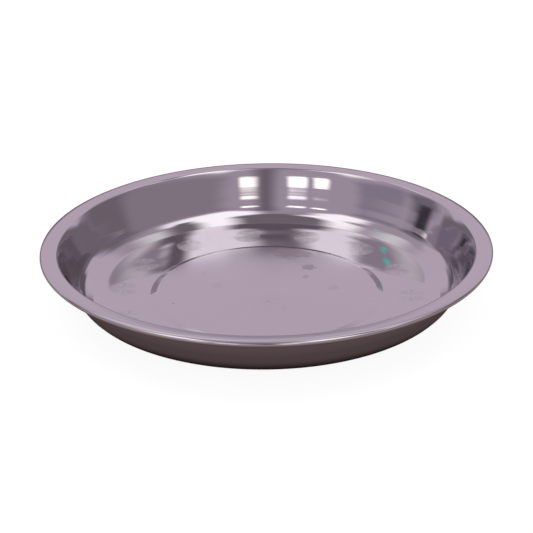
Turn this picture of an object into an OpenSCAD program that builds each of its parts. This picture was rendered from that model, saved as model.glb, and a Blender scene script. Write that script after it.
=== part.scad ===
// Round dinner plate pressed from one steel sheet, with a raised centre, a stepped wall,
// a flat brim that rolls over at the outside, and an edge curled under into a hollow bead.
// Millimetres, +Z up, origin under the middle of the plate on the plane that it stands on.

/* [Overall] */
// Diameter over the curled edge
rim_d = 300; // [275:1:330]
// Height from the table to the crest of the brim
plate_h = 37; // [30:0.5:44]
// Thickness of the steel sheet
sheet_t = 0.7; // [0.5:0.05:0.9]

/* [Floor] */
// Diameter of the flat top of the raised centre
centre_d = 148; // [80:1:168]
// Height of the raised centre over the floor round it
centre_rise = 1.2; // [0.6:0.1:2.5]
// Width of the slope from the raised centre down to the floor
step_w = 4.5; // [3:0.25:10]
// Radius that softens both edges of that slope
step_r = 3; // [1:0.25:5]
// Width of the flat ring of floor round that slope, on which the plate stands
flat_w = 11.5; // [8:0.5:16]
// Radius of the turn from that ring into the gentle rise outside it
flat_r = 120; // [60:5:140]
// Radius of the sweep that steepens the rise towards the wall
sweep_r = 50; // [20:1:60]

/* [Wall] */
// Diameter of the line at which the floor ends and the wall starts
foot_d = 232.3; // [228:0.5:240]
// Height of that line over the flat floor
foot_h = 1.95; // [1.4:0.05:2.6]
// Radius of the turn at that line
foot_r = 1; // [1:0.25:3]
// Radius of the hollow at the bottom of the wall
heel_r = 10.8; // [6:0.2:14]
// Radius of the next hollow, which brings the wall up steeply
hollow_r = 12; // [6:0.5:16]
// Radius of the faint shoulder halfway up the wall
shoulder_r = 37; // [15:1:50]
// Radius of the faint hollow over that shoulder
waist_r = 8.6; // [4:0.2:12]
// Diameter of the crease that runs round the wall
crease_d = 264.7; // [262:0.5:268]
// Height of the crease over the flat floor
crease_h = 24; // [21:0.25:26]
// Radius of the crease itself
crease_r = 1.8; // [1:0.1:3]
// Radius of the flare from the crease up to the brim
flare_r = 46; // [15:1:50]

/* [Brim] */
// Width of the brim, from the outside of the edge to the bend into the wall
brim_w = 11.2; // [10:0.2:13]
// Height that the brim falls from its crest in to that bend
brim_fall = 0.65; // [0.3:0.05:1.5]
// Radius of the bend from the brim into the wall
brim_bend_r = 2.8; // [2:0.1:6]
// Radius to which the outer part of the brim rolls over, from its crest down to the edge
roll_r = 10; // [6:0.5:12]
// Slope of the sheet, in degrees, where it runs into the curled edge
roll_deg = 20; // [10:1:25]
// Outside diameter of the curled edge
bead_d = 3; // [2.4:0.1:4]

/* [Hidden] */

// Sides of the round surfaces where they are drawn as facets
$fn = 180;
// Turn between one point of a round stretch of the profile and the next
arc_step_deg = 3;
// The same for the curled edge, which is far smaller
curl_step_deg = 10;
// Where the curl leaves the brim and where it ends, seen in the right-hand section
curl_start_deg = 90 - roll_deg;
curl_end_deg = -180;

// Middles of the curled edge and of the roll that leads into it
bead_r = bead_d / 2;
roll_in_r = roll_r - bead_r;
bead_centre = [rim_d / 2 - bead_r, plate_h - roll_r + roll_in_r * cos(roll_deg)];
roll_centre = bead_centre - roll_in_r * [sin(roll_deg), cos(roll_deg)];

// Corners of the food side of the sheet, as [radius from the axis, height, rounding]
flat_corner = [centre_d / 2 + step_w + flat_w, sheet_t, flat_r];
foot_corner = [foot_d / 2, sheet_t + foot_h, foot_r];
crease_corner = [crease_d / 2, sheet_t + crease_h, crease_r];
brim_corner = [rim_d / 2 - brim_w, plate_h - brim_fall, brim_bend_r];

// The flat of the brim meets the roll at a tangent, and these are the roll's corner and end
brim_deg = heading(brim_corner, roll_centre) + asin(roll_r / span(brim_corner, roll_centre));
roll_corner_r = roll_r / cos((brim_deg + roll_deg) / 2);
roll_corner_deg = (roll_deg - brim_deg) / 2;
roll_corner = roll_centre + roll_corner_r * [sin(roll_corner_deg), cos(roll_corner_deg)];
roll_end = roll_centre + roll_r * [sin(roll_deg), cos(roll_deg)];

// Place of the sweep's corner, on the way from the flat floor to the foot of the wall
sweep_shares = [0.818, 0.337];
// Places of the wall's corners, on the way from its foot to the crease
heel_shares = [0.379, 0.142];
hollow_shares = [0.634, 0.337];
shoulder_shares = [0.773, 0.607];
waist_shares = [0.843, 0.722];
// Place of the flare's own corner, on the way from the crease to the brim
flare_shares = [0.602, 0.707];

function between(low, high, shares, rounding) =
    [low.x + (high.x - low.x) * shares.x, low.y + (high.y - low.y) * shares.y, rounding];

food_side_corners = [
    [0, sheet_t + centre_rise, 0],
    [centre_d / 2, sheet_t + centre_rise, step_r],
    [centre_d / 2 + step_w, sheet_t, step_r],
    flat_corner,
    between(flat_corner, foot_corner, sweep_shares, sweep_r),
    foot_corner,
    between(foot_corner, crease_corner, heel_shares, heel_r),
    between(foot_corner, crease_corner, hollow_shares, hollow_r),
    between(foot_corner, crease_corner, shoulder_shares, shoulder_r),
    between(foot_corner, crease_corner, waist_shares, waist_r),
    crease_corner,
    between(crease_corner, brim_corner, flare_shares, flare_r),
    brim_corner,
    [roll_corner.x, roll_corner.y, roll_r],
    [roll_end.x, roll_end.y, 0]
];

function heading(from, to) = atan2(to.y - from.y, to.x - from.x);
function span(from, to) = norm([to.x - from.x, to.y - from.y]);

function turn_at(corners, i) =
    heading(corners[i], corners[i + 1]) - heading(corners[i - 1], corners[i]);

// Length of side that a corner's rounding needs, from the corner to where the arc starts
function reach_wanted(corners, i) =
    i == 0 || i == len(corners) - 1 ? 0 : corners[i].z * tan(abs(turn_at(corners, i)) / 2);

// Two roundings that meet on one side share it in proportion, and never overlap
function share_of_side(corners, i) =
    min(1, span(corners[i], corners[i + 1]) / (reach_wanted(corners, i) + reach_wanted(corners, i + 1)));

// The points of one rounded corner, as [radius from the axis, height, heading]
function rounded_corner(corners, i) =
    let (
        fit = min(share_of_side(corners, i - 1), share_of_side(corners, i)),
        rounding = corners[i].z * fit,
        reach = reach_wanted(corners, i) * fit,
        in_deg = heading(corners[i - 1], corners[i]),
        turn = turn_at(corners, i),
        side = sign(turn),
        start = [corners[i].x - reach * cos(in_deg), corners[i].y - reach * sin(in_deg)],
        middle = [start.x - side * rounding * sin(in_deg), start.y + side * rounding * cos(in_deg)],
        steps = max(2, ceil(abs(turn) / arc_step_deg))
    )
    [for (k = [0 : steps])
        let (deg = in_deg + turn * k / steps)
        [middle.x + side * rounding * sin(deg), middle.y - side * rounding * cos(deg), deg]];

// The food side from the middle of the plate out to the curled edge, where its last rounding ends
function food_side(corners) =
    concat(
        [[corners[0].x, corners[0].y, 0]],
        [for (i = [1 : len(corners) - 2]) each rounded_corner(corners, i)]
    );

// The same line moved down through the sheet, square to it
function under_side(line) =
    [for (p = line) [p.x + sheet_t * sin(p.z), p.y - sheet_t * cos(p.z)]];

function flat_points(line) = [for (p = line) [p.x, p.y]];

function reversed(list) = [for (i = [len(list) - 1 : -1 : 0]) list[i]];

// Floor, raised centre, wall and brim: one sheet of even thickness
module plate_body() {
    line = food_side(food_side_corners);
    color("silver")
        rotate_extrude()
            polygon(concat(flat_points(line), reversed(under_side(line))));
}

// Points round part of a circle, from one angle to another
function arc_points(radius, from_deg, to_deg) =
    let (steps = ceil(abs(to_deg - from_deg) / curl_step_deg))
    [for (i = [0 : steps])
        let (deg = from_deg + (to_deg - from_deg) * i / steps)
        [radius * cos(deg), radius * sin(deg)]];

// The edge of the sheet, rolled out and under through three quarters of a turn
module rim_bead() {
    color("gainsboro")
        rotate_extrude()
            translate(bead_centre)
                polygon(concat(
                    arc_points(bead_r, curl_start_deg, curl_end_deg),
                    arc_points(bead_r - sheet_t, curl_end_deg, curl_start_deg)
                ));
}

plate_body();
rim_bead();
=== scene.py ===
import math

import bmesh
import bpy
from mathutils import Matrix, Vector


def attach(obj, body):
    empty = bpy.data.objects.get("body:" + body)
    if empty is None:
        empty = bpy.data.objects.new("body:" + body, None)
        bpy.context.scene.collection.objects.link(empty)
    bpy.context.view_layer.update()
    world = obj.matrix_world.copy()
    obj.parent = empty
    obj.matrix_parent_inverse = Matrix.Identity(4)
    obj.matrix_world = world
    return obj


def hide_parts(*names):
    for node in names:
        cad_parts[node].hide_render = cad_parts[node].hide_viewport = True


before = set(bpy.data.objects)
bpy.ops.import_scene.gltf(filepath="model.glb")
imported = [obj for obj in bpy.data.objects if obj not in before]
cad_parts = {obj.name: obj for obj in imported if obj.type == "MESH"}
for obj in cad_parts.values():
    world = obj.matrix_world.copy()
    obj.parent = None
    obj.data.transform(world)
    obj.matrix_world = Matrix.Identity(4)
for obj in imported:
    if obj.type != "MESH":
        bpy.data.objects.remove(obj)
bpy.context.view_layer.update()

MM = 0.001

# Sizes of the pressed sheet in millimetres: its brim rolls over at the outside and ends in a curl
SHEET_MM = 0.7
RIM_R_MM = 150.0
PLATE_H_MM = 37.0
BEAD_R_MM = 1.5
ROLL_R_MM = 10.0
ROLL_RAD = math.radians(20.0)
ROLL_OUT = (math.sin(ROLL_RAD), math.cos(ROLL_RAD))
ROLL_IN_MM = ROLL_R_MM - BEAD_R_MM
ROLL_AT_MM = (RIM_R_MM - BEAD_R_MM - ROLL_IN_MM * ROLL_OUT[0], PLATE_H_MM - ROLL_R_MM)
BEAD_AT_MM = (ROLL_AT_MM[0] + ROLL_IN_MM * ROLL_OUT[0], ROLL_AT_MM[1] + ROLL_IN_MM * ROLL_OUT[1])

# The raised centre, the slope round it and the flat ring of floor that the plate stands on
CENTRE_R_MM = 74.0
CENTRE_RISE_MM = 1.2
STEP_W_MM = 4.5
STEP_R_MM = 3.0
FLAT_W_MM = 11.5
FLAT_R_MM = 120.0
SWEEP_R_MM = 50.0
# The wall, from the line where the floor ends to its crease: each line's radius, height and rounding
FOOT_LINE_R_MM = 116.15
FOOT_H_MM = 1.95
FOOT_R_MM = 1.0
HEEL_R_MM = 10.8
HOLLOW_R_MM = 12.0
SHOULDER_R_MM = 37.0
WAIST_R_MM = 8.6
CREASE_LINE_R_MM = 132.35
CREASE_H_MM = 24.0
CREASE_R_MM = 1.8
FLARE_R_MM = 46.0
# The brim, in to its bend into the wall
BRIM_W_MM = 11.2
BRIM_FALL_MM = 0.65
BRIM_BEND_R_MM = 2.8
# Where the softer corners lie, as shares of the way out and up between two of these lines
SWEEP_SHARES = (0.818, 0.337)
HEEL_SHARES = (0.379, 0.142)
HOLLOW_SHARES = (0.634, 0.337)
SHOULDER_SHARES = (0.773, 0.607)
WAIST_SHARES = (0.843, 0.722)
FLARE_SHARES = (0.602, 0.707)
ARC_STEP_DEG = 1.5
CURL_STEP_DEG = 9.0
CURL_TURN_RAD = math.radians(270.0) - ROLL_RAD
TURNS = 288
SHARP_EDGE_DEG = 50.0
SAME_POINT = 1e-7


# Shapes
def heading(a, b):
    return math.atan2(b[1] - a[1], b[0] - a[0])


def span(a, b):
    return math.hypot(b[0] - a[0], b[1] - a[1])


def between(low, high, shares, rounding):
    """A corner on the way from one corner to another."""
    return (low[0] + (high[0] - low[0]) * shares[0], low[1] + (high[1] - low[1]) * shares[1], rounding)


def food_side_corners():
    """Corners of the food side up to the brim, as (radius from the axis, height, rounding)."""
    centre_top = SHEET_MM + CENTRE_RISE_MM
    step_foot_r = CENTRE_R_MM + STEP_W_MM
    flat = (step_foot_r + FLAT_W_MM, SHEET_MM, FLAT_R_MM)
    foot = (FOOT_LINE_R_MM, SHEET_MM + FOOT_H_MM, FOOT_R_MM)
    crease = (CREASE_LINE_R_MM, SHEET_MM + CREASE_H_MM, CREASE_R_MM)
    brim = (RIM_R_MM - BRIM_W_MM, PLATE_H_MM - BRIM_FALL_MM, BRIM_BEND_R_MM)
    return [
        (0.0, centre_top, 0.0),
        (CENTRE_R_MM, centre_top, STEP_R_MM),
        (step_foot_r, SHEET_MM, STEP_R_MM),
        flat,
        between(flat, foot, SWEEP_SHARES, SWEEP_R_MM),
        foot,
        between(foot, crease, HEEL_SHARES, HEEL_R_MM),
        between(foot, crease, HOLLOW_SHARES, HOLLOW_R_MM),
        between(foot, crease, SHOULDER_SHARES, SHOULDER_R_MM),
        between(foot, crease, WAIST_SHARES, WAIST_R_MM),
        crease,
        between(crease, brim, FLARE_SHARES, FLARE_R_MM),
        brim,
    ]


def with_roll(corners):
    """Adds the corner and the end of the roll, which the brim meets at a tangent."""
    brim = corners[-1]
    towards = heading(brim, ROLL_AT_MM) + math.asin(ROLL_R_MM / span(brim, ROLL_AT_MM))
    out = ROLL_R_MM / math.cos((towards + ROLL_RAD) / 2)
    lean = (ROLL_RAD - towards) / 2
    corner = (ROLL_AT_MM[0] + out * math.sin(lean), ROLL_AT_MM[1] + out * math.cos(lean), ROLL_R_MM)
    end = (
        ROLL_AT_MM[0] + ROLL_R_MM * ROLL_OUT[0],
        ROLL_AT_MM[1] + ROLL_R_MM * ROLL_OUT[1],
        0.0,
    )
    return [*corners, corner, end]


def roundings(corners):
    """One (start, heading in, turn, radius) for each rounded corner of a profile line."""
    last = len(corners) - 1
    turns = [0.0] * (last + 1)
    for i in range(1, last):
        turns[i] = heading(corners[i], corners[i + 1]) - heading(corners[i - 1], corners[i])
    wanted = [c[2] * math.tan(abs(t) / 2) for c, t in zip(corners, turns)]
    shares = [
        min(1.0, span(corners[i], corners[i + 1]) / max(wanted[i] + wanted[i + 1], 1e-9))
        for i in range(last)
    ]
    found = []
    for i in range(1, last):
        fit = min(shares[i - 1], shares[i])
        towards = heading(corners[i - 1], corners[i])
        reach = wanted[i] * fit
        start = (
            corners[i][0] - reach * math.cos(towards),
            corners[i][1] - reach * math.sin(towards),
        )
        found.append((start, towards, turns[i], corners[i][2] * fit))
    return found


def section_point(bm, r_mm, z_mm):
    return bm.verts.new((r_mm * MM, 0.0, z_mm * MM))


def bend(bm, start, centre_mm, turn, step_deg):
    """Carries a point of the section round an arc and gives the arc's last point."""
    made = bmesh.ops.spin(
        bm,
        geom=[start],
        cent=(centre_mm[0] * MM, 0.0, centre_mm[1] * MM),
        axis=(0.0, -1.0, 0.0),
        angle=turn,
        steps=max(2, math.ceil(abs(math.degrees(turn)) / step_deg)),
        use_merge=False,
    )
    return [v for v in made["geom_last"] if isinstance(v, bmesh.types.BMVert)][0]


def sheet_side(bm, depth_mm):
    """One side of the sheet as a line from the axis to the curl, depth_mm under the food side."""
    corners = food_side_corners()
    before = section_point(bm, corners[0][0], corners[0][1] - depth_mm)
    for (r, z), towards, turn, radius in roundings(with_roll(corners)):
        side = math.copysign(1.0, turn)
        centre = (r - side * radius * math.sin(towards), z + side * radius * math.cos(towards))
        point = section_point(
            bm, r + depth_mm * math.sin(towards), z - depth_mm * math.cos(towards)
        )
        bm.edges.new((before, point))
        before = bend(bm, point, centre, turn, ARC_STEP_DEG)
    return before


def turned_piece(name, bm):
    """Turns the section round the plate's axis into a closed piece."""
    bmesh.ops.spin(
        bm,
        geom=bm.verts[:] + bm.edges[:],
        cent=(0.0, 0.0, 0.0),
        axis=(0.0, 0.0, 1.0),
        angle=math.tau,
        steps=TURNS,
        use_merge=True,
    )
    bmesh.ops.remove_doubles(bm, verts=bm.verts[:], dist=SAME_POINT)
    bmesh.ops.recalc_face_normals(bm, faces=bm.faces[:])
    for face in bm.faces:
        face.smooth = True
    for edge in bm.edges:
        edge.smooth = edge.calc_face_angle(0.0) < math.radians(SHARP_EDGE_DEG)
    mesh = bpy.data.meshes.new(name)
    bm.to_mesh(mesh)
    bm.free()
    piece = bpy.data.objects.new(name, mesh)
    bpy.context.scene.collection.objects.link(piece)
    return piece


def pressed_sheet():
    """The plate itself, from the axis out to where the curl starts."""
    bm = bmesh.new()
    bm.edges.new((sheet_side(bm, 0.0), sheet_side(bm, SHEET_MM)))
    return turned_piece("plate_sheet", bm)


def curled_edge():
    """The hollow curl that hides the sheet's cut edge."""
    bm = bmesh.new()
    turn = -CURL_TURN_RAD
    outside, inside = (
        section_point(bm, BEAD_AT_MM[0] + r * ROLL_OUT[0], BEAD_AT_MM[1] + r * ROLL_OUT[1])
        for r in (BEAD_R_MM, BEAD_R_MM - SHEET_MM)
    )
    outside_end = bend(bm, outside, BEAD_AT_MM, turn, CURL_STEP_DEG)
    inside_end = bend(bm, inside, BEAD_AT_MM, turn, CURL_STEP_DEG)
    bm.edges.new((outside, inside))
    bm.edges.new((outside_end, inside_end))
    return turned_piece("plate_rim_curl", bm)


sheet = pressed_sheet()
curl = curled_edge()


# Steel finish
class Nodes:
    """Short ways to place and join the nodes of one material or group."""

    def __init__(self, tree):
        self.tree = tree

    def add(self, kind, **settings):
        node = self.tree.nodes.new(kind)
        for key, value in settings.items():
            setattr(node, key, value)
        return node

    def join(self, value, socket):
        if isinstance(value, bpy.types.NodeSocket):
            self.tree.links.new(value, socket)
        else:
            socket.default_value = value

    def math(self, operation, *values):
        node = self.add("ShaderNodeMath", operation=operation)
        for value, socket in zip(values, node.inputs):
            self.join(value, socket)
        return node.outputs[0]

    def vector(self, operation, *values):
        node = self.add("ShaderNodeVectorMath", operation=operation)
        for value, socket in zip(values, node.inputs):
            self.join(value, socket)
        number = operation in ("LENGTH", "DOT_PRODUCT", "DISTANCE")
        return node.outputs["Value" if number else "Vector"]

    def counted_in(self, vector, size):
        """The vector in steps of the given size."""
        return self.vector("DIVIDE", vector, self.whole(size, size, size))

    def smooth(self, value, low, high, out_low=0.0, out_high=1.0):
        node = self.add("ShaderNodeMapRange", interpolation_type="SMOOTHSTEP")
        for v, socket in zip((value, low, high, out_low, out_high), node.inputs):
            self.join(v, socket)
        return node.outputs[0]

    def parts(self, vector):
        node = self.add("ShaderNodeSeparateXYZ")
        self.join(vector, node.inputs[0])
        return node.outputs

    def whole(self, x, y, z):
        node = self.add("ShaderNodeCombineXYZ")
        for v, socket in zip((x, y, z), node.inputs):
            self.join(v, socket)
        return node.outputs[0]

    def noise(self, vector, scale, detail=2.0, roughness=0.5):
        node = self.add("ShaderNodeTexNoise")
        for key, v in (("Vector", vector), ("Scale", scale), ("Detail", detail), ("Roughness", roughness)):
            self.join(v, node.inputs[key])
        return node.outputs[0]

    def blend(self, factor, low, high, kind="RGBA"):
        node = self.add("ShaderNodeMix", data_type=kind)
        first = {"FLOAT": (2, 3), "VECTOR": (4, 5), "RGBA": (6, 7)}[kind]
        self.join(factor, node.inputs[0])
        self.join(low, node.inputs[first[0]])
        self.join(high, node.inputs[first[1]])
        return node.outputs[{"FLOAT": 0, "VECTOR": 1, "RGBA": 2}[kind]]

    def group(self, tree, **inputs):
        node = self.add("ShaderNodeGroup", node_tree=tree)
        for key, value in inputs.items():
            self.join(value, node.inputs[key.replace("_", " ").title()])
        return node.outputs


# Spot-brushed rounds on the floor, ground in a ring round the raised centre
SPOTS = 14
SPOT_RING_R = 97.0 * MM
SPOT_R = 10.5 * MM
FIRST_SPOT_DEG = 175.2
SPOT_CORE_SHARE = 0.8
CENTRE_R = CENTRE_R_MM * MM
CENTRE_EDGE = 1.0 * MM
WALL_FOOT_R = 116.0 * MM
WALL_EDGE = 6.0 * MM
# Least distances that the patterns divide by, at the axis and in the middle of a round
NEAR_AXIS = 1e-4
NEAR_MIDDLE = 1e-5
# Where the noise turns into handling marks, patches of them and haze, and how strong the marks get
MARK_EDGE = (0.62, 0.72)
MARK_PEAK = 0.35
PATCH_EDGE = (0.58, 0.68)
HAZE_EDGE = (0.35, 0.65)
# The outline of a dried drop, and how far the noise breaks it up
DROP_EDGE = (1.4, 1.7)
DROP_BREAK_UP = 1.6
# Roughness of the polished steel, and what each mark adds to it
POLISHED = 0.02
RINGS_ADD = 0.04
HAZE_ADDS = 0.02
CENTRE_ADDS = 0.06
MARKS_ADD = 0.12
DROPS_ADD = 0.1
# Roughness of a ground round between and in its scratches, its bright top coat and how dull it looks
GROUND = 0.17
GROUND_ADDS = 0.14
TOP_COAT_ROUGHNESS = 0.03
TOP_COAT_IOR = 2.2
GROUND_DULLS = 0.3
# Strength of the spun rings on the floor, what the wall adds, and their depth
RINGS_ON_FLOOR = 0.1
RINGS_ON_WALL = 0.5
RING_DEPTH = 0.025 * MM
CLEAN_STEEL = (0.68, 0.65, 0.68, 1.0)
DULLED_STEEL = (0.52, 0.485, 0.505, 1.0)
# Drops that dried on the raised centre: (x, y, size, strength)
DROPS_MM = [
    (16.0, 62.0, 11.0, 1.0),
    (27.0, 60.0, 6.0, 0.9),
    (29.0, 38.0, 6.0, 1.0),
    (7.5, 59.0, 2.6, 0.7),
    (27.0, 22.5, 3.0, 0.6),
    (38.0, 62.0, 3.5, 0.4),
    (-34.0, 10.0, 6.0, 0.2),
    (45.0, 4.0, 5.0, 0.25),
    (-62.0, -18.0, 1.6, 0.7),
]


def new_group(name, inputs, outputs):
    """A node group with named sockets: {name: (socket type, value)} in, {name: type} out."""
    tree = bpy.data.node_groups.new(name, "ShaderNodeTree")
    for key, (kind, value) in inputs.items():
        socket = tree.interface.new_socket(key, in_out="INPUT", socket_type="NodeSocket" + kind)
        if value is not None:
            socket.default_value = value
    for key, kind in outputs.items():
        tree.interface.new_socket(key, in_out="OUTPUT", socket_type="NodeSocket" + kind)
    nodes = Nodes(tree)
    return tree, nodes, nodes.add("NodeGroupInput").outputs, nodes.add("NodeGroupOutput").inputs


def spinning_marks():
    """Fine rings that the polishing wheel left while the plate spun, as a height."""
    tree, nodes, given, made = new_group(
        "spinning_marks",
        {"Vector": ("Vector", None), "Ring Width": ("Float", 0.001)},
        {"Height": "Float"},
    )
    x, y, z = nodes.parts(given["Vector"])
    radius = nodes.vector("LENGTH", nodes.whole(x, y, 0.0))
    safe = nodes.math("MAXIMUM", radius, NEAR_AXIS)
    along = nodes.math("ADD", radius, z)
    across_rings = nodes.math("DIVIDE", along, given["Ring Width"])
    place = nodes.whole(nodes.math("DIVIDE", x, safe), nodes.math("DIVIDE", y, safe), across_rings)
    nodes.join(nodes.noise(place, 1.0, detail=3.0, roughness=0.6), made["Height"])
    return tree


def handling_marks():
    """Dried drops and finger marks: small dull patches gathered in a few places."""
    tree, nodes, given, made = new_group(
        "handling_marks",
        {"Vector": ("Vector", None), "Mark Size": ("Float", 0.004), "Patch Size": ("Float", 0.05)},
        {"Marks": "Float", "Haze": "Float"},
    )
    marks = nodes.noise(nodes.counted_in(given["Vector"], given["Mark Size"]), 1.0, detail=4.0)
    patches = nodes.noise(nodes.counted_in(given["Vector"], given["Patch Size"]), 1.0, detail=1.0)
    marks = nodes.smooth(marks, *MARK_EDGE, 0.0, MARK_PEAK)
    in_patches = nodes.smooth(patches, *PATCH_EDGE)
    nodes.join(nodes.math("MULTIPLY", marks, in_patches), made["Marks"])
    nodes.join(nodes.smooth(patches, *HAZE_EDGE), made["Haze"])
    return tree


def spot_brushing():
    """The ground rounds: a soft-edged mask, and how deep their ring scratches are."""
    tree, nodes, given, made = new_group(
        "spot_brushing",
        {"From Middle": ("Vector", None), "Ring Width": ("Float", 0.002)},
        {"Mask": "Float", "Depth": "Float"},
    )
    reach = nodes.vector("LENGTH", given["From Middle"])
    nodes.join(nodes.smooth(reach, SPOT_R * SPOT_CORE_SHARE, SPOT_R, 1.0, 0.0), made["Mask"])
    x, y, _ = nodes.parts(given["From Middle"])
    safe = nodes.math("MAXIMUM", reach, NEAR_MIDDLE)
    across = nodes.math("DIVIDE", reach, given["Ring Width"])
    place = nodes.whole(nodes.math("DIVIDE", x, safe), nodes.math("DIVIDE", y, safe), across)
    nodes.join(nodes.noise(place, 1.0, detail=1.0), made["Depth"])
    return tree


def dried_drops():
    """Dull marks where water dried: soft patches with a broken outline."""
    tree, nodes, given, made = new_group(
        "dried_drops",
        {"Vector": ("Vector", None), "Break Up": ("Float", 0.003)},
        {"Marks": "Float"},
    )
    x, y, _ = nodes.parts(given["Vector"])
    flat = nodes.whole(x, y, 0.0)
    rough = nodes.noise(nodes.counted_in(flat, given["Break Up"]), 1.0, detail=3.0, roughness=0.6)
    marks = 0.0
    for drop_x, drop_y, size, strength in DROPS_MM:
        reach = nodes.vector("DISTANCE", flat, (drop_x * MM, drop_y * MM, 0.0))
        reach = nodes.math("DIVIDE", reach, size * MM)
        reach = nodes.math("MULTIPLY_ADD", rough, DROP_BREAK_UP, reach)
        marks = nodes.math("MAXIMUM", marks, nodes.smooth(reach, *DROP_EDGE, strength, 0.0))
    nodes.join(marks, made["Marks"])
    return tree


SPINNING_MARKS = spinning_marks()
HANDLING_MARKS = handling_marks()
SPOT_BRUSHING = spot_brushing()
DRIED_DROPS = dried_drops()


def polished_steel(name, with_spots):
    """Mirror-polished stainless steel with its spinning marks, haze and handling marks."""
    material = bpy.data.materials.new(name)
    material.use_nodes = True
    nodes = Nodes(material.node_tree)
    shader = material.node_tree.nodes["Principled BSDF"]
    shader.inputs["Metallic"].default_value = 1.0
    shader.inputs["Anisotropic"].default_value = 1.0
    coordinates = nodes.add("ShaderNodeTexCoord").outputs
    place = coordinates["Object"]
    x, y, _ = nodes.parts(place)
    radius = nodes.vector("LENGTH", nodes.whole(x, y, 0.0))
    # The food side faces up, the under side down
    food_side = nodes.math("GREATER_THAN", nodes.parts(coordinates["Normal"])[2], 0.0)

    broad = nodes.group(SPINNING_MARKS, vector=place, ring_width=2.2 * MM)["Height"]
    fine = nodes.group(SPINNING_MARKS, vector=place, ring_width=0.35 * MM)["Height"]
    handling = nodes.group(HANDLING_MARKS, vector=place, mark_size=5.0 * MM, patch_size=45.0 * MM)

    # The raised centre is a little duller than the rest
    centre = nodes.smooth(radius, CENTRE_R - CENTRE_EDGE, CENTRE_R, 1.0, 0.0)
    roughness = nodes.math("MULTIPLY_ADD", fine, RINGS_ADD, POLISHED)
    roughness = nodes.math("MULTIPLY_ADD", handling["Haze"], HAZE_ADDS, roughness)
    roughness = nodes.math("MULTIPLY_ADD", centre, CENTRE_ADDS, roughness)
    marks = handling["Marks"]
    roughness = nodes.math("MULTIPLY_ADD", marks, MARKS_ADD, roughness)
    wall = nodes.smooth(radius, WALL_FOOT_R, WALL_FOOT_R + WALL_EDGE)
    ring_strength = nodes.math("MULTIPLY_ADD", wall, RINGS_ON_WALL, RINGS_ON_FLOOR)
    height = nodes.math("MULTIPLY", broad, ring_strength)

    tangent = nodes.whole(x, y, 0.0)
    if with_spots:
        # The nearest round's middle, found by counting steps round the axis
        step = math.tau / SPOTS
        first = math.radians(FIRST_SPOT_DEG)
        angle = nodes.math("ARCTAN2", y, x)
        count = nodes.math("ROUND", nodes.math("DIVIDE", nodes.math("SUBTRACT", angle, first), step))
        middle_angle = nodes.math("MULTIPLY_ADD", count, step, first)
        middle = nodes.whole(
            nodes.math("MULTIPLY", nodes.math("COSINE", middle_angle), SPOT_RING_R),
            nodes.math("MULTIPLY", nodes.math("SINE", middle_angle), SPOT_RING_R),
            0.0,
        )
        from_middle = nodes.vector("SUBTRACT", tangent, middle)
        spots = nodes.group(SPOT_BRUSHING, from_middle=from_middle, ring_width=2.0 * MM)
        spot = nodes.math("MULTIPLY", spots["Mask"], food_side)
        in_round = nodes.math("LESS_THAN", nodes.vector("LENGTH", from_middle), SPOT_R)
        tangent = nodes.blend(in_round, tangent, from_middle, "VECTOR")
        ground = nodes.math("MULTIPLY_ADD", spots["Depth"], GROUND_ADDS, GROUND)
        roughness = nodes.blend(spot, roughness, ground, "FLOAT")
        # Between the scratches of a round the steel is still bright, like a clear coat over them
        nodes.join(spot, shader.inputs["Coat Weight"])
        shader.inputs["Coat Roughness"].default_value = TOP_COAT_ROUGHNESS
        shader.inputs["Coat IOR"].default_value = TOP_COAT_IOR
        drops = nodes.group(DRIED_DROPS, vector=place, break_up=3.0 * MM)["Marks"]
        drops = nodes.math("MULTIPLY", drops, food_side)
        marks = nodes.math("MAXIMUM", marks, drops)
        marks = nodes.math("MULTIPLY_ADD", spot, GROUND_DULLS, marks)
        roughness = nodes.math("MULTIPLY_ADD", drops, DROPS_ADD, roughness)

    colour = nodes.blend(marks, CLEAN_STEEL, DULLED_STEEL)
    nodes.join(colour, shader.inputs["Base Color"])
    nodes.join(roughness, shader.inputs["Roughness"])
    nodes.join(nodes.vector("NORMALIZE", tangent), shader.inputs["Tangent"])
    bump = nodes.add("ShaderNodeBump")
    bump.inputs["Strength"].default_value = 1.0
    bump.inputs["Distance"].default_value = RING_DEPTH
    nodes.join(height, bump.inputs["Height"])
    nodes.join(bump.outputs[0], shader.inputs["Normal"])
    return material


sheet.data.materials.append(polished_steel("polished_steel", True))
curl.data.materials.append(polished_steel("polished_steel_edge", False))

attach(sheet, "root")
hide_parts("plate_body")
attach(curl, "root")
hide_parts("rim_bead")


# Studio: what stands round the plate, as soft-edged cards on a far tent that only the metal mirrors
MAUVE = (1.0, 0.84, 1.0)
VIOLET = (1.0, 0.86, 1.12)
PALE = (1.0, 0.96, 1.0)
WARM = (1.0, 0.95, 0.9)
TEAL = (0.25, 1.0, 0.83)
# Tones of the room, from an unlit opening to a bare lamp
UNLIT = 0.05
DIM = 0.2
DULL = 0.3
MIDDLE = 0.45
PLAIN = 0.6
SOFT = 0.8
BRIGHT = 1.4
LAMP = 2.0
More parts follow.
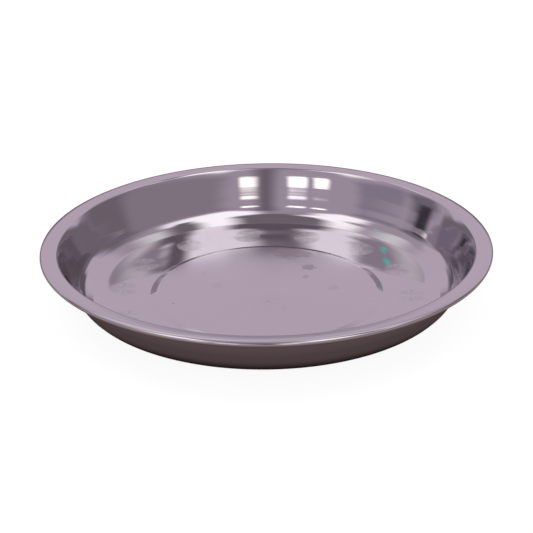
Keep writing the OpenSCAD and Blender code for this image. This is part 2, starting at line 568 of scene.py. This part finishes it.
# Each card: (what it is, azimuth and elevation of its middle with 0 straight behind the plate and + to the
# right, half width, half height, softness of its edge, all in degrees, then its tint and tone)
STUDIO_CARDS = [
    ("ceiling", 0, 90, 20, 20, 5, MAUVE, DIM),
    ("backdrop", 0, 0, 60, 20, 10, MAUVE, DIM),
    ("backdrop_band", 0, 30, 50, 15, 5, MAUVE, PLAIN),
    ("backdrop_top_left", -30, 50, 20, 5, 5, PALE, SOFT),
    ("backdrop_top_right", 30, 55, 15, 5, 5, PALE, SOFT),
    ("right_wall", 75, 20, 20, 20, 10, MAUVE, DIM),
    ("right_wall_back", 120, 25, 30, 20, 10, MAUVE, DULL),
    ("left_wall", -105, 25, 15, 10, 5, VIOLET, DULL),
    ("left_dark_card", -75, 20, 10, 10, 5, VIOLET, DIM),
    ("left_dark_opening", -75, 10, 5, 5, 3, VIOLET, UNLIT),
    ("left_softbox", -110, 60, 10, 15, 5, PALE, BRIGHT),
    ("right_softbox", 120, 65, 20, 12, 5, PALE, BRIGHT),
    ("left_ceiling_strip", -80, 70, 20, 4, 3, PALE, BRIGHT),
    ("right_ceiling_strip", 75, 75, 20, 5, 3, PALE, BRIGHT),
    ("right_dull_panel", 60, 65, 20, 4, 3, MAUVE, DIM),
    ("lamp_left", -160, 30, 5, 5, 2, PALE, LAMP),
    ("lamp_far_left", -145, 30, 4, 4, 2, WARM, LAMP),
    ("lamp_right", 170, 30, 5, 5, 2, WARM, LAMP),
    ("camera_stand", 180, 40, 5, 25, 5, MAUVE, DIM),
    ("teal_card", -60, 56, 3, 1, 0.5, TEAL, SOFT),
]
# A card is left out where it would be seen edge on
EDGE_ON = 0.02
TENT_R = 6.0
TENT_SEGMENTS = 48
TABLE_SEGMENTS = 96
FLOOR_R = 4.0
FLOOR_Z = -0.0002
# The table that the camera sees: mostly its own even white, with a little of the plate's shadow
TABLE_GLOW = 0.93
TABLE_WHITE = 0.14
# The cloth that the metal mirrors: a dark ring of painted shadow near the foot of the plate, fading out to
# a grey of painted lamp light farther away
CLOTH_SHADOW_R = 0.12
CLOTH_SHADOW_FADE = 0.06
CLOTH_IN_SHADOW = (0.02, 0.01, 0.01)
CLOTH_LIT = (0.4, 0.3, 0.3)


def studio_card():
    """How far one soft-edged card covers what is seen in a direction, from 0 to 1."""
    tree, nodes, given, made = new_group(
        "studio_card",
        {
            "Direction": ("Vector", None),
            "Facing": ("Vector", None),
            "Across": ("Vector", None),
            "Upward": ("Vector", None),
            "Half Width": ("Float", 0.1),
            "Half Height": ("Float", 0.1),
            "Softness": ("Float", 0.05),
        },
        {"Cover": "Float"},
    )
    depth = nodes.vector("DOT_PRODUCT", given["Direction"], given["Facing"])
    safe = nodes.math("MAXIMUM", depth, EDGE_ON)
    covers = nodes.math("GREATER_THAN", depth, EDGE_ON)
    for axis, half in (("Across", "Half Width"), ("Upward", "Half Height")):
        along = nodes.math("ABSOLUTE", nodes.vector("DOT_PRODUCT", given["Direction"], given[axis]))
        inner = nodes.math("SUBTRACT", given[half], given["Softness"])
        outer = nodes.math("ADD", given[half], given["Softness"])
        cover = nodes.smooth(nodes.math("DIVIDE", along, safe), inner, outer, 1.0, 0.0)
        covers = nodes.math("MULTIPLY", covers, cover)
    nodes.join(covers, made["Cover"])
    return tree


def card_axes(azimuth_deg, elevation_deg):
    """The way the card faces from the plate, and its own sideways and upward directions."""
    azimuth = math.radians(azimuth_deg)
    elevation = math.radians(elevation_deg)
    facing = Vector((
        math.sin(azimuth) * math.cos(elevation),
        math.cos(azimuth) * math.cos(elevation),
        math.sin(elevation),
    ))
    across = Vector((math.cos(azimuth), -math.sin(azimuth), 0.0))
    return facing, across, across.cross(facing)


def lit(tint, tone):
    return (*(tone * v for v in tint), 1.0)


def only_for(piece, *rays):
    """Leaves the piece visible to the named kinds of ray alone."""
    for kind in ("camera", "diffuse", "glossy", "transmission", "volume_scatter", "shadow"):
        setattr(piece, "visible_" + kind, kind in rays)


def stage_piece(name, bm, material):
    """A piece of the studio, which isn't part of the plate."""
    mesh = bpy.data.meshes.new(name)
    bm.to_mesh(mesh)
    bm.free()
    piece = bpy.data.objects.new(name, mesh)
    bpy.context.scene.collection.objects.link(piece)
    piece.data.materials.append(material)
    return piece


def bare_material(name):
    """A material without nodes, which adds no lamp light of its own."""
    material = bpy.data.materials.new(name)
    material.use_nodes = True
    material.cycles.emission_sampling = "NONE"
    material.node_tree.nodes.clear()
    return material, Nodes(material.node_tree)


def studio_tent():
    """The room round the plate: one card painted over the other on the inside of a far ball."""
    material, nodes = bare_material("studio_tent")
    card = studio_card()
    direction = nodes.vector("NORMALIZE", nodes.add("ShaderNodeTexCoord").outputs["Object"])
    colour = lit(MAUVE, MIDDLE)
    for _, azimuth, elevation, *size, tint, tone in STUDIO_CARDS:
        facing, across, upward = card_axes(azimuth, elevation)
        half_width, half_height, softness = (math.tan(math.radians(v)) for v in size)
        cover = nodes.group(
            card,
            direction=direction,
            facing=facing,
            across=across,
            upward=upward,
            half_width=half_width,
            half_height=half_height,
            softness=softness,
        )["Cover"]
        colour = nodes.blend(cover, colour, lit(tint, tone))
    glow = nodes.add("ShaderNodeEmission")
    nodes.join(colour, glow.inputs["Color"])
    nodes.join(glow.outputs[0], nodes.add("ShaderNodeOutputMaterial").inputs["Surface"])
    bm = bmesh.new()
    bmesh.ops.create_uvsphere(bm, u_segments=TENT_SEGMENTS, v_segments=TENT_SEGMENTS // 2, radius=TENT_R)
    tent = stage_piece("studio_tent", bm, material)
    only_for(tent, "glossy")
    return tent


def table_top():
    """A white table for the camera, with the plate's shadow; the metal mirrors a cloth on it with the
    plate's shadow painted into its colour.
    """
    material, nodes = bare_material("table_top")
    white = nodes.add("ShaderNodeEmission")
    white.inputs["Color"].default_value = (TABLE_GLOW, TABLE_GLOW, TABLE_GLOW, 1.0)
    matt = nodes.add("ShaderNodeBsdfDiffuse")
    matt.inputs["Color"].default_value = (TABLE_WHITE, TABLE_WHITE, TABLE_WHITE, 1.0)
    bright = nodes.add("ShaderNodeAddShader")
    nodes.join(white.outputs[0], bright.inputs[0])
    nodes.join(matt.outputs[0], bright.inputs[1])
    cloth = nodes.add("ShaderNodeEmission")
    # Painted shadow and light on the cloth: darkest near the plate's foot, painted lighter grey farther
    # out
    reach = nodes.vector("LENGTH", nodes.add("ShaderNodeTexCoord").outputs["Object"])
    inside = nodes.math("DIVIDE", nodes.math("SUBTRACT", CLOTH_SHADOW_R, reach), CLOTH_SHADOW_FADE)
    painted_shadow = nodes.math("MINIMUM", nodes.math("EXPONENT", inside), 1.0)
    nodes.join(nodes.blend(painted_shadow, (*CLOTH_LIT, 1.0), (*CLOTH_IN_SHADOW, 1.0)), cloth.inputs["Color"])
    mirrored = nodes.add("ShaderNodeLightPath").outputs["Is Glossy Ray"]
    either = nodes.add("ShaderNodeMixShader")
    nodes.join(mirrored, either.inputs[0])
    nodes.join(bright.outputs[0], either.inputs[1])
    nodes.join(cloth.outputs[0], either.inputs[2])
    nodes.join(either.outputs[0], nodes.add("ShaderNodeOutputMaterial").inputs["Surface"])
    bm = bmesh.new()
    bmesh.ops.create_circle(bm, cap_ends=True, cap_tris=True, segments=TABLE_SEGMENTS, radius=FLOOR_R)
    bmesh.ops.translate(bm, verts=bm.verts[:], vec=(0.0, 0.0, FLOOR_Z))
    return stage_piece("table_top", bm, material)


MATT_LIGHT = 0.55
LAMP_SIZE = 1.2
# Each lamp: (name, place, power)
SOFT_LAMPS = [
    ("soft_lamp_left", (-1.1, 0.5, 1.7), 8.0),
    ("soft_lamp_right", (1.1, 0.4, 1.8), 7.0),
]


def white_world():
    """White where it is looked at or mirrored, and a plain even light on whatever is matt."""
    world = bpy.data.worlds.new("white_room")
    bpy.context.scene.world = world
    world.use_nodes = True
    nodes = Nodes(world.node_tree)
    background = world.node_tree.nodes["Background"]
    background.inputs["Color"].default_value = (1.0, 1.0, 1.0, 1.0)
    path = nodes.add("ShaderNodeLightPath").outputs
    seen = nodes.math("MAXIMUM", path["Is Camera Ray"], path["Is Glossy Ray"])
    seen = nodes.math("MAXIMUM", seen, path["Is Transmission Ray"])
    nodes.join(nodes.blend(seen, MATT_LIGHT, 1.0, "FLOAT"), background.inputs["Strength"])


def soft_lamp(name, place, power):
    lamp = bpy.data.objects.new(name, bpy.data.lights.new(name, "AREA"))
    bpy.context.scene.collection.objects.link(lamp)
    lamp.data.shape = "DISK"
    lamp.data.size = LAMP_SIZE
    lamp.data.energy = power
    towards_plate = Vector(place).to_track_quat("Z", "Y").to_matrix().to_4x4()
    lamp.matrix_world = Matrix.Translation(place) @ towards_plate
    lamp.visible_glossy = False
    return lamp


studio_tent()
table_top()
white_world()
for lamp_name, lamp_place, lamp_power in SOFT_LAMPS:
    soft_lamp(lamp_name, lamp_place, lamp_power)

# Camera
AIM = Vector((0.0, 0.0, 0.03602))
CAMERA_REACH = 1.3
CAMERA_RISE_DEG = 23.38
CAMERA_DIP_DEG = 0.652
CAMERA_ROLL_DEG = -0.72
LENS_MM = 132.1
SENSOR_MM = 36.0
NEAREST = 0.05
FARTHEST = 50.0
MIRROR_BOUNCES = 8

camera = bpy.data.objects.new("camera", bpy.data.cameras.new("camera"))
bpy.context.scene.collection.objects.link(camera)
bpy.context.scene.camera = camera
camera.data.sensor_width = SENSOR_MM
camera.data.lens = LENS_MM
camera.data.clip_start = NEAREST
camera.data.clip_end = FARTHEST
rise = math.radians(CAMERA_RISE_DEG)
tilt = math.radians(90.0 - CAMERA_RISE_DEG - CAMERA_DIP_DEG)
camera.matrix_world = (
    Matrix.Translation(AIM + CAMERA_REACH * Vector((0.0, -math.cos(rise), math.sin(rise))))
    @ Matrix.Rotation(tilt, 4, "X")
    @ Matrix.Rotation(math.radians(CAMERA_ROLL_DEG), 4, "Z")
)

# The wall and the floor of the plate mirror each other many times over
bpy.context.scene.cycles.glossy_bounces = MIRROR_BOUNCES
bpy.context.scene.view_settings.view_transform = "Standard"
